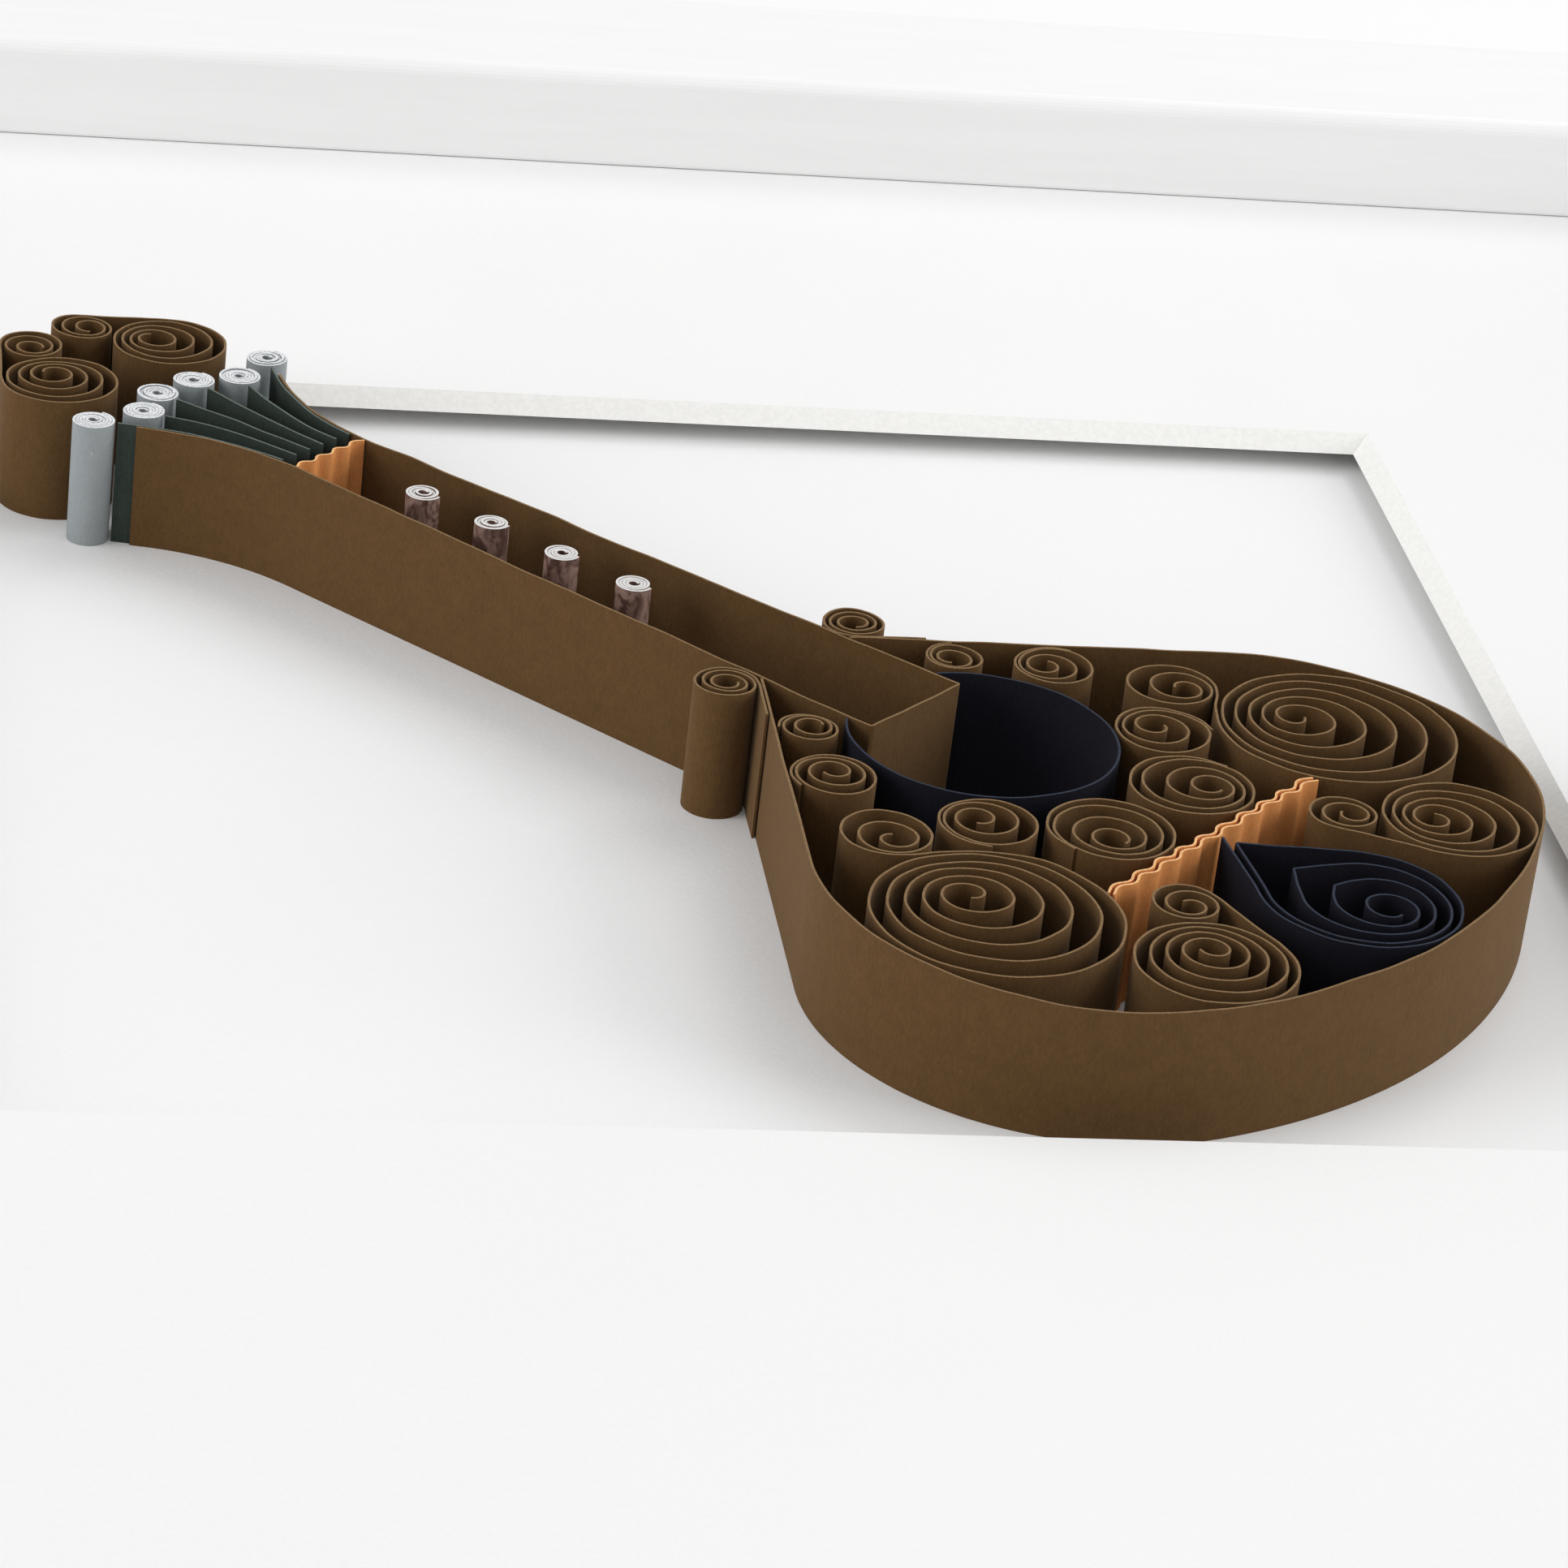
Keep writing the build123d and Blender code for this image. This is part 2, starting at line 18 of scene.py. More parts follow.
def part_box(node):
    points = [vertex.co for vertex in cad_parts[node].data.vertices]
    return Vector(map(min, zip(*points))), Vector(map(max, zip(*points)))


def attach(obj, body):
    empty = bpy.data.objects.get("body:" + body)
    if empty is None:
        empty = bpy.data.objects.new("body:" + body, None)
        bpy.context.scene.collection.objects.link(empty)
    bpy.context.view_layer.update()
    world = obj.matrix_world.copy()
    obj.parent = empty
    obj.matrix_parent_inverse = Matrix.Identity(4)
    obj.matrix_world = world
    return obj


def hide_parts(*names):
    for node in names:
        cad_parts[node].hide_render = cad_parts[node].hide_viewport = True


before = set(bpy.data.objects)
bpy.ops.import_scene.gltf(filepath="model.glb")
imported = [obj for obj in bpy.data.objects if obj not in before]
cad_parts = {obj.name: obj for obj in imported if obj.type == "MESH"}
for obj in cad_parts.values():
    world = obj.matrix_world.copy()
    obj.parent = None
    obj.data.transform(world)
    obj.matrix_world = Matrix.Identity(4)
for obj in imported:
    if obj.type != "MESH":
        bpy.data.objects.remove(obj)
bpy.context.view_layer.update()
BODY = "root"

LOG = logging.getLogger("quilled_guitar")
MM = 0.001
PER_MM = 1000.0
TOLERANCE = 0.01 * MM
SHARP_BEND = math.radians(40.0)
IMAGE_PIXELS = 1932
SENSOR_MM = 36.0

# A noise swings about its middle, and this factor brings the swing to between -1 and 1
NOISE_MIDDLE = 0.5
NOISE_FULL_SWING = 2.0

Colour = tuple[float, float, float]
Stretch = tuple[float, float, float]
Place = tuple[float, float, float]
Levels = tuple[float, float]


class Grain(Enum):
    """Which way a brushed, sawn or rolled surface runs, as the factors that stretch its pattern."""

    ALONG_X = (0.06, 1.0, 1.0)
    ALONG_Y = (1.0, 0.06, 1.0)


class Fold(Enum):
    """Turn in degrees from which a bend in a strip is a fold. No bend reaches the rounded one."""

    CREASED = 50.0
    ROUNDED = 181.0


class Kind(Enum):
    """Sockets that a geometry tree takes its sizes from."""

    FLOAT = "NodeSocketFloat"
    COUNT = "NodeSocketInt"
    PLACE = "NodeSocketVector"
    MATERIAL = "NodeSocketMaterial"


class Value:
    """A number in a node graph that takes part in Python expressions."""

    def __init__(self, graph: "Graph", socket: bpy.types.NodeSocket) -> None:
        """Wrap one output socket of a graph."""
        self.graph = graph
        self.socket = socket

    def _math(self, operation: str, first: "Value | float", second: "Value | float") -> "Value":
        """Add the Math node of one operation.

        Args:
            operation: Name of the Math node's operation.
            first: Its first number or value.
            second: Its second number or value.

        Returns:
            The result as a value.
        """
        return self.graph.value("ShaderNodeMath", {"operation": operation}, {0: first, 1: second})

    def __add__(self, other: "Value | float") -> "Value":
        """Sum of two values."""
        return self._math("ADD", self, other)

    def __radd__(self, other: "Value | float") -> "Value":
        """Sum with a number on the left."""
        return self._math("ADD", other, self)

    def __sub__(self, other: "Value | float") -> "Value":
        """Difference of two values."""
        return self._math("SUBTRACT", self, other)

    def __rsub__(self, other: "Value | float") -> "Value":
        """Difference from a number on the left."""
        return self._math("SUBTRACT", other, self)

    def __mul__(self, other: "Value | float") -> "Value":
        """Product of two values."""
        return self._math("MULTIPLY", self, other)

    def __rmul__(self, other: "Value | float") -> "Value":
        """Product with a number on the left."""
        return self._math("MULTIPLY", other, self)

    def __truediv__(self, other: "Value | float") -> "Value":
        """Quotient of two values."""
        return self._math("DIVIDE", self, other)

    def __rtruediv__(self, other: "Value | float") -> "Value":
        """Quotient with a number on the left."""
        return self._math("DIVIDE", other, self)

    def between(self, low: float, high: float) -> "Value":
        """Smooth step from 0 at one level to 1 at another.

        Args:
            low: Level at which the step starts.
            high: Level at which it ends.

        Returns:
            The step as a value.
        """
        levels = {"Value": self, "From Min": low, "From Max": high}
        return self.graph.value("ShaderNodeMapRange", {"interpolation_type": "SMOOTHSTEP"}, levels)

    def swing(self, reach: float) -> "Value":
        """Swing of a noise about its middle, times a reach."""
        return reach * (self - NOISE_MIDDLE)

    def blend(self, other: "Value", share: float) -> "Value":
        """Weighted mean of this value and a share of another."""
        return (1.0 - share) * self + share * other


class Graph:
    """A node tree that is built through one node-making method."""

    def __init__(self, tree: bpy.types.NodeTree) -> None:
        """Start from an empty tree."""
        self.tree = tree
        tree.nodes.clear()

    def node(
        self,
        kind: str,
        settings: Mapping[str, Any] | None = None,
        inputs: Mapping[str | int, Any] | None = None,
    ) -> bpy.types.Node:
        """Add one node.

        Args:
            kind: The node's type.
            settings: Its properties, which are set first.
            inputs: Values or links of its sockets, by name or number.

        Returns:
            The new node.
        """
        node = self.tree.nodes.new(kind)
        for name, setting in (settings or {}).items():
            setattr(node, name, setting)
        for key, given in (inputs or {}).items():
            if isinstance(given, Value):
                given = given.socket
            if isinstance(given, bpy.types.NodeSocket):
                self.tree.links.new(given, node.inputs[key])
            else:
                node.inputs[key].default_value = given
        return node

    def socket(
        self,
        kind: str,
        settings: Mapping[str, Any] | None = None,
        inputs: Mapping[str | int, Any] | None = None,
        output: str | int = 0,
    ) -> bpy.types.NodeSocket:
        """Add one node and give one of its outputs, by name or number."""
        return self.node(kind, settings, inputs).outputs[output]

    def value(
        self,
        kind: str,
        settings: Mapping[str, Any] | None = None,
        inputs: Mapping[str | int, Any] | None = None,
        output: str | int = 0,
    ) -> Value:
        """Add one node and wrap one of its outputs, by name or number."""
        return Value(self, self.socket(kind, settings, inputs, output))


class Shader(Graph):
    """One material, with the patterns that its finishes share."""

    # How far a surface faces up where a paper's face turns into its cut edge
    CUT_LEVELS: Levels = (0.6, 0.8)

    # Sockets of a colour mix, which share their names with those of other kinds of mix
    MIX_SHARE = 0
    MIX_FIRST = 6
    MIX_SECOND = 7
    MIX_RESULT = 2

    def __init__(self, name: str) -> None:
        """Start an empty material.

        Args:
            name: The material's name.
        """
        self.material = bpy.data.materials.new(name)
        self.material.use_nodes = True
        super().__init__(self.material.node_tree)

    def place(self, stretch: Stretch = (1.0, 1.0, 1.0)) -> bpy.types.NodeSocket:
        """The surface's own coordinates in millimetres.

        Args:
            stretch: Factors along the axes. A small one draws a pattern out along its axis.

        Returns:
            The vector socket.
        """
        coordinates = self.socket("ShaderNodeTexCoord", output="Object")
        scale = tuple(PER_MM * factor for factor in stretch)
        return self.socket("ShaderNodeMapping", None, {"Vector": coordinates, "Scale": scale})

    def noise(
        self, place: bpy.types.NodeSocket, span: float, detail: float = 3.0, bend: float = 0.0
    ) -> Value:
        """Cloudy pattern.

        Args:
            place: Coordinates in millimetres.
            span: Width of its blotches in millimetres.
            detail: How many finer octaves it has.
            bend: How far its lines are distorted.

        Returns:
            The pattern, which swings about its middle.
        """
        inputs = {"Vector": place, "Scale": 1.0 / span, "Detail": detail, "Distortion": bend}
        return self.value("ShaderNodeTexNoise", None, inputs)

    def facing(self) -> Value:
        """How far the surface faces up: 1 on a flat top, 0 on a wall."""
        normal = self.socket("ShaderNodeNewGeometry", output="Normal")
        return self.value("ShaderNodeSeparateXYZ", None, {0: normal}, "Z")

    def cut_edge(self) -> Value:
        """Where a standing paper shows its upper cut edge: 1 there, 0 on its faces."""
        return self.facing().between(*self.CUT_LEVELS)

    def mix(
        self,
        first: Colour | bpy.types.NodeSocket,
        second: Colour | bpy.types.NodeSocket,
        share: Value | float,
    ) -> bpy.types.NodeSocket:
        """Blend of two colours.

        Args:
            first: Colour or socket at share 0.
            second: Colour or socket at share 1.
            share: How much of the second.

        Returns:
            The blended colour's socket.
        """
        inputs = {
            key: (*colour, 1.0) if isinstance(colour, tuple) else colour
            for key, colour in ((self.MIX_FIRST, first), (self.MIX_SECOND, second))
        }
        inputs[self.MIX_SHARE] = share
        return self.socket("ShaderNodeMix", {"data_type": "RGBA"}, inputs, self.MIX_RESULT)

    def relief(self, height: Value, depth: float) -> bpy.types.NodeSocket:
        """Bumps in the surface.

        Args:
            height: Pattern of the bumps.
            depth: Their height in millimetres.

        Returns:
            The bent normal's socket.
        """
        return self.socket("ShaderNodeBump", None, {"Height": height, "Distance": depth * MM})

    def close(self, **sockets: Any) -> bpy.types.Material:
        """End the material in one surface shader.

        Args:
            **sockets: The shader's inputs, with underscores for spaces.

        Returns:
            The finished material.
        """
        inputs = {name.replace("_", " "): given for name, given in sockets.items()}
        surface = self.socket("ShaderNodeBsdfPrincipled", None, inputs)
        self.node("ShaderNodeOutputMaterial", None, {"Surface": surface})
        return self.material


def shade(colour: Colour, factor: float) -> Colour:
    """A colour made lighter or darker by a factor."""
    return tuple(channel * factor for channel in colour)


@dataclass(frozen=True)
class PaperFinish:
    """Dyed paper: mottled faces with fine fibres, and paler cut edges."""

    name: str
    face: Colour
    edge: Colour
    mottle: float = 0.13
    tone_levels: Levels = (0.3, 0.7)
    blotch_span: float = 1.3
    blotch_share: float = 0.35
    fibre_span: float = 0.2
    fibre_stretch: Stretch = (1.0, 1.0, 0.45)
    fibre_bend: float = 0.6
    fleck: float = 0.2
    fleck_span: float = 0.35
    fleck_levels: Levels = (0.66, 0.76)
    fleck_shade: float = 0.9
    edge_shades: tuple[float, float] = (0.8, 1.15)
    edge_levels: Levels = (0.35, 0.65)
    tooth: float = 0.03
    blotch_tooth: float = 0.5
    roughness: float = 0.86
    roughness_swing: float = 0.08
    specular: float = 0.1
    sheen: float = 0.0
    sheen_tint: Colour = (1.0, 0.72, 0.46)

    def material(self) -> bpy.types.Material:
        """Build the paper's material.

        Returns:
            The finished material.
        """
        shader = Shader(self.name)
        place = shader.place()
        drawn_out = shader.place(self.fibre_stretch)
        blotch = shader.noise(place, self.blotch_span, detail=5.0)
        fibre = shader.noise(drawn_out, self.fibre_span, detail=4.0, bend=self.fibre_bend)
        fleck = shader.noise(place, self.fleck_span, detail=2.0).between(*self.fleck_levels)
        tone = fibre.blend(blotch, self.blotch_share).between(*self.tone_levels)
        dark, light = shade(self.face, 1 - self.mottle), shade(self.face, 1 + self.mottle)
        mottled = shader.mix(dark, light, tone)
        face = shader.mix(mottled, shade(self.edge, self.fleck_shade), self.fleck * fleck)
        dull, bright = (shade(self.edge, factor) for factor in self.edge_shades)
        edge = shader.mix(dull, bright, fibre.between(*self.edge_levels))
        return shader.close(
            Base_Color=shader.mix(face, edge, shader.cut_edge()),
            Roughness=self.roughness + fibre.swing(self.roughness_swing),
            Normal=shader.relief(fibre + self.blotch_tooth * blotch, self.tooth),
            Specular_IOR_Level=self.specular,
            Sheen_Weight=self.sheen,
            Sheen_Tint=(*self.sheen_tint, 1.0),
        )


@dataclass(frozen=True)
class MarbledFinish:
    """White paper printed with veins on its outside, whose cut edges stay white."""

    name: str
    ground: Colour
    vein: Colour
    edge: Colour
    vein_span: float = 1.3
    vein_stretch: Stretch = (1.0, 1.0, 0.6)
    vein_bend: float = 1.6
    vein_levels: Levels = (0.36, 0.64)
    print_swing: float = 0.25
    fibre_span: float = 0.2
    edge_shade: float = 0.86
    edge_levels: Levels = (0.3, 0.6)
    tooth: float = 0.02
    roughness: float = 0.75
    roughness_swing: float = 0.1
    specular: float = 0.3

    def material(self) -> bpy.types.Material:
        """Build the printed paper's material.

        Returns:
            The finished material.
        """
        shader = Shader(self.name)
        drawn_out = shader.place(self.vein_stretch)
        swirl = shader.noise(drawn_out, self.vein_span, detail=3.0, bend=self.vein_bend)
        fibre = shader.noise(shader.place(), self.fibre_span, detail=3.0)
        printed = swirl.between(*self.vein_levels) + fibre.swing(self.print_swing)
        face = shader.mix(self.vein, self.ground, printed)
        dull = shade(self.edge, self.edge_shade)
        edge = shader.mix(dull, self.edge, fibre.between(*self.edge_levels))
        return shader.close(
            Base_Color=shader.mix(face, edge, shader.cut_edge()),
            Roughness=self.roughness + fibre.swing(self.roughness_swing),
            Normal=shader.relief(fibre, self.tooth),
            Specular_IOR_Level=self.specular,
        )


@dataclass(frozen=True)
class BoardFinish:
    """White board with a soft tooth, whose slanted cut shows its core."""

    name: str
    face: Colour
    core: Colour
    face_shade: float = 0.985
    tone_levels: Levels = (0.35, 0.6)
    cloud_span: float = 30.0
    cloud_share: float = 0.5
    core_shade: float = 0.96
    core_levels: Levels = (0.4, 0.6)
    slant_levels: Levels = (0.85, 0.95)
    tooth: float = 0.035
    tooth_span: float = 0.45
    roughness: float = 0.82
    roughness_swing: float = 0.08
    specular: float = 0.3

    def material(self) -> bpy.types.Material:
        """Build the board's material.

        Returns:
            The finished material.
        """
        shader = Shader(self.name)
        place = shader.place()
        tooth = shader.noise(place, self.tooth_span, detail=4.0)
        cloud = shader.noise(place, self.cloud_span, detail=2.0)
        tone = tooth.blend(cloud, self.cloud_share).between(*self.tone_levels)
        face = shader.mix(shade(self.face, self.face_shade), self.face, tone)
        grain = tooth.between(*self.core_levels)
        core = shader.mix(shade(self.core, self.core_shade), self.core, grain)
        slant = 1.0 - shader.facing().between(*self.slant_levels)
        return shader.close(
            Base_Color=shader.mix(face, core, slant),
            Roughness=self.roughness + tooth.swing(self.roughness_swing),
            Normal=shader.relief(tooth, self.tooth),
            Specular_IOR_Level=self.specular,
        )


@dataclass(frozen=True)
class PaintedWood:
    """White satin paint, brushed along a rail, with the wood's grain just showing through."""

    name: str
    grain: Grain
    paint: Colour = (0.87, 0.87, 0.868)
    thin_shade: float = 0.98
    tone_levels: Levels = (0.35, 0.62)
    stroke_span: float = 0.8
    pore_span: float = 3.0
    pore_bend: float = 0.8
    pore_share: float = 0.5
    ridge: float = 0.05
    ridge_pore_share: float = 0.4
    roughness: float = 0.42
    roughness_swing: float = 0.2
    specular: float = 0.45

    def material(self) -> bpy.types.Material:
        """Build the painted wood's material.

        Returns:
            The finished material.
        """
        shader = Shader(self.name)
        place = shader.place(self.grain.value)
        stroke = shader.noise(place, self.stroke_span, detail=3.0)
        pore = shader.noise(place, self.pore_span, detail=5.0, bend=self.pore_bend)
        tone = stroke.blend(pore, self.pore_share).between(*self.tone_levels)
        return shader.close(
            Base_Color=shader.mix(shade(self.paint, self.thin_shade), self.paint, tone),
            Roughness=self.roughness + stroke.swing(self.roughness_swing),
            Normal=shader.relief(stroke.blend(pore, self.ridge_pore_share), self.ridge),
            Specular_IOR_Level=self.specular,
        )


@dataclass(frozen=True)
class PressedFinish:
    """Pressed board or foam: a mass of short fibres or cells in two tones."""

    name: str
    dark: Colour
    light: Colour
    span: float
    bend: float = 0.9
    cloud_span: float = 24.0
    cloud_share: float = 0.3
    tone_levels: Levels = (0.34, 0.66)
    relief: float = 0.04
    roughness: float = 0.7
    roughness_swing: float = 0.15
    specular: float = 0.35

    def material(self) -> bpy.types.Material:
        """Build the pressed board's material.

        Returns:
            The finished material.
        """
        shader = Shader(self.name)
        place = shader.place()
        chip = shader.noise(place, self.span, detail=6.0, bend=self.bend)
        cloud = shader.noise(place, self.cloud_span, detail=3.0)
        tone = chip.blend(cloud, self.cloud_share).between(*self.tone_levels)
        return shader.close(
            Base_Color=shader.mix(self.dark, self.light, tone),
            Roughness=self.roughness + chip.swing(self.roughness_swing),
            Normal=shader.relief(chip, self.relief),
            Specular_IOR_Level=self.specular,
        )


@dataclass(frozen=True)
class ZincFinish:
    """Bright zinc plating with a faint rolled grain and duller patches."""

    name: str
    bright: Colour = (0.66, 0.67, 0.69)
    dull: Colour = (0.5, 0.5, 0.51)
    rolled_span: float = 0.25
    rolled_depth: float = 0.01
    patch_span: float = 3.0
    patch_levels: Levels = (0.4, 0.65)
    roughness: float = 0.28
    patch_roughness: float = 0.2
    rolled_roughness: float = 0.1

    def material(self) -> bpy.types.Material:
        """Build the plated steel's material.

        Returns:
            The finished material.
        """
        shader = Shader(self.name)
        drawn_out = shader.place(Grain.ALONG_X.value)
        rolled = shader.noise(drawn_out, self.rolled_span, detail=3.0)
        patch = shader.noise(shader.place(), self.patch_span, detail=4.0).between(*self.patch_levels)
        dulled = self.roughness + self.patch_roughness * patch
        return shader.close(
            Base_Color=shader.mix(self.bright, self.dull, patch),
            Metallic=1.0,
            Roughness=dulled + rolled.swing(self.rolled_roughness),
            Normal=shader.relief(rolled, self.rolled_depth),
        )


class GeometryTree(Graph):
    """A geometry node group that takes named sizes and ends in one material."""

    def __init__(self, name: str, sizes: Mapping[str, Kind]) -> None:
        """Start a group.

        Args:
            name: The group's name.
            sizes: Its inputs past the geometry, by name.
        """
        group = bpy.data.node_groups.new(name, "GeometryNodeTree")
        super().__init__(group)
        group.interface.new_socket("Geometry", in_out="OUTPUT", socket_type="NodeSocketGeometry")
        kinds = {"Geometry": "NodeSocketGeometry"}
        kinds.update((size, kind.value) for size, kind in sizes.items())
        self.keys = {
            size: group.interface.new_socket(size, in_out="INPUT", socket_type=kind).identifier
            for size, kind in kinds.items()
        }
        given = self.node("NodeGroupInput").outputs
        self.given = {size: Value(self, given[size]) for size in kinds}

    def close(self, geometry: bpy.types.NodeSocket) -> None:
        """End the group: real geometry, in the material that it was given.

        Args:
            geometry: What the group has made.
        """
        real = self.socket("GeometryNodeRealizeInstances", None, {0: geometry})
        finish = {0: real, "Material": self.given["Material"]}
        dressed = self.socket("GeometryNodeSetMaterial", None, finish)
        self.node("NodeGroupOutput", None, {0: dressed})

    def run(self, host: bpy.types.Object, sizes: Mapping[str, Any]) -> bpy.types.Mesh:
        """Evaluate the group on an object and give the result as a plain mesh.

        Args:
            host: Object whose mesh the group starts from.
            sizes: Values of the named inputs.

        Returns:
            The new mesh, with no modifier.
        """
        modifier = host.modifiers.new(self.tree.name, "NODES")
        modifier.node_group = self.tree
        for size, given in sizes.items():
            modifier[self.keys[size]] = given
        graph = bpy.context.evaluated_depsgraph_get()
        mesh = bpy.data.meshes.new_from_object(host.evaluated_get(graph), depsgraph=graph)
        host.modifiers.remove(modifier)
        return mesh


class StandingPaper(GeometryTree):
    """Paper that stands on edge along a line: what strips and rolls share."""

    SIZES: Mapping[str, Kind] = {
        "Paper": Kind.FLOAT,
        "Height": Kind.FLOAT,
        "Rows": Kind.COUNT,
        "Base": Kind.FLOAT,
        "Sway": Kind.FLOAT,
        "Sway Span": Kind.FLOAT,
        "Rise": Kind.FLOAT,
        "Rise Span": Kind.FLOAT,
        "Seed": Kind.FLOAT,
        "Material": Kind.MATERIAL,
    }

    # Sockets of a comparison of whole numbers, which share their names with those of other kinds
    FIRST_WHOLE = 2
    SECOND_WHOLE = 3

    def section(self) -> bpy.types.NodeSocket:
        """Outline of the strip's cross-section, with points up its faces.

        Returns:
            The closed curve's socket.
        """
        size = {
            "Size X": self.given["Paper"],
            "Size Y": self.given["Height"],
            "Vertices X": 2,
            "Vertices Y": self.given["Rows"],
        }
        sheet = self.socket("GeometryNodeMeshGrid", None, size)
        faces = self.socket("GeometryNodeInputMeshEdgeNeighbors")
        equal = {"data_type": "INT", "operation": "EQUAL"}
        one_face = {self.FIRST_WHOLE: faces, self.SECOND_WHOLE: 1}
        rim = self.socket("FunctionNodeCompare", equal, one_face)
        return self.socket("GeometryNodeMeshToCurve", None, {0: sheet, "Selection": rim})

    def stand(self, line: bpy.types.NodeSocket) -> bpy.types.NodeSocket:
        """Stand the paper up along a line, with the sway and the uneven top of handmade work.

        Args:
            line: Curve at half the strip's height.

        Returns:
            The standing strip's mesh.
        """
        length = self.socket("GeometryNodeSplineParameter", output="Length")
        kept = {"data_type": "FLOAT", "domain": "POINT"}
        measured = {0: line, "Name": "along", "Value": length}
        marked = self.socket("GeometryNodeStoreNamedAttribute", kept, measured)
        upright = self.socket("GeometryNodeSetCurveNormal", {"mode": "Z_UP"}, {0: marked})
        wall = {0: upright, "Profile Curve": self.section(), "Fill Caps": True}
        inside_out = self.socket("GeometryNodeCurveToMesh", None, wall)
        paper = self.socket("GeometryNodeFlipFaces", None, {0: inside_out})
        return self.socket("GeometryNodeSetPosition", None, {0: paper, "Offset": self.handmade()})

    def handmade(self) -> bpy.types.NodeSocket:
        """Offset of each point: none at the foot, most at the top.

        Returns:
            The offset's socket.
        """
        place = self.socket("GeometryNodeInputPosition")
        level = self.value("ShaderNodeSeparateXYZ", None, {0: place}, "Z")
        share = (level - self.given["Base"]) / self.given["Height"]
        flatten = {0: place, 1: (1, 1, 0)}
        plan = self.socket("ShaderNodeVectorMath", {"operation": "MULTIPLY"}, flatten)
        drift = {"Vector": plan, "Scale": 1.0 / self.given["Sway Span"], "Detail": 1.0}
        colour = self.socket("ShaderNodeTexNoise", {"noise_dimensions": "3D"}, drift, "Color")
        lean = self.node("ShaderNodeSeparateXYZ", None, {0: colour}).outputs
        number = {"data_type": "FLOAT"}
        along = self.value("GeometryNodeInputNamedAttribute", number, {"Name": "along"})
        wave = {
            "W": along / self.given["Rise Span"] + self.given["Seed"],
            "Scale": 1.0,
            "Detail": 1.0,
        }
        top = self.value("ShaderNodeTexNoise", {"noise_dimensions": "1D"}, wave)
        sway = share * self.given["Sway"]
        offset = {
            "X": Value(self, lean["X"]).swing(NOISE_FULL_SWING) * sway,
            "Y": Value(self, lean["Y"]).swing(NOISE_FULL_SWING) * sway,
            "Z": top.swing(NOISE_FULL_SWING) * share * self.given["Rise"],
        }
        return self.socket("ShaderNodeCombineXYZ", None, offset)


class StripTree(StandingPaper):
    """Smooth strip along the points of a line, folded where the line is creased."""

    def __init__(self) -> None:
        """Build the tree."""
        super().__init__("standing_strip", {"Step": Kind.FLOAT, **self.SIZES})
        line = self.socket("GeometryNodeMeshToCurve", None, {0: self.given["Geometry"]})
        bent = self.socket("GeometryNodeCurveSplineType", {"spline_type": "BEZIER"}, {0: line})
        marks = {"data_type": "BOOLEAN"}
        creased = self.socket("GeometryNodeInputNamedAttribute", marks, {"Name": "creased"})
        smooth = self.socket("FunctionNodeBooleanMath", {"operation": "NOT"}, {0: creased})
        both = {"handle_type": "AUTO", "mode": {"LEFT", "RIGHT"}}
        curled = self.socket("GeometryNodeCurveSetHandles", both, {0: bent, "Selection": smooth})
        steps = {0: curled, "Length": self.given["Step"]}
        stepped = self.socket("GeometryNodeResampleCurve", {"mode": "LENGTH"}, steps)
        self.close(self.stand(stepped))


class RollTree(StandingPaper):
    """Strip wound tight on itself about an eye."""

    def __init__(self) -> None:
        """Build the tree."""
        own = {
            "Place": Kind.PLACE,
            "Radius": Kind.FLOAT,
            "Eye": Kind.FLOAT,
            "Turns": Kind.FLOAT,
            "Facets": Kind.COUNT,
        }
        super().__init__("tight_roll", {**own, **self.SIZES})
        wound = {
            "Resolution": self.given["Facets"],
            "Rotations": self.given["Turns"],
            "Start Radius": self.given["Eye"],
            "End Radius": self.given["Radius"],
            "Height": 0.0,
            "Reverse": True,
        }
        spiral = self.socket("GeometryNodeCurveSpiral", None, wound)
        placed = {0: spiral, "Translation": self.given["Place"]}
        self.close(self.stand(self.socket("GeometryNodeTransform", None, placed)))


@dataclass(frozen=True)
class Handwork:
    """How exactly the paper is cut, wound and set."""

    paper: float = 0.18 * MM
    rows: int = 7
    step: float = 0.22 * MM
    sway: float = 0.14 * MM
    sway_span: float = 11.0 * MM
    rise: float = 0.12 * MM
    rise_span: float = 7.0 * MM

    def sizes(
        self, low: float, high: float, seed: float, material: bpy.types.Material
    ) -> dict[str, Any]:
        """Inputs of a tree for one standing piece.

        Args:
            low: Height of its foot.
            high: Height of its top.
            seed: Where its uneven top starts in the pattern.
            material: Its paper.

        Returns:
            The inputs by name.
        """
        return {
            "Paper": self.paper,
            "Height": high - low,
            "Rows": self.rows,
            "Base": low,
            "Sway": self.sway,
            "Sway Span": self.sway_span,
            "Rise": self.rise,
            "Rise Span": self.rise_span,
            "Seed": seed,
            "Material": material,
        }


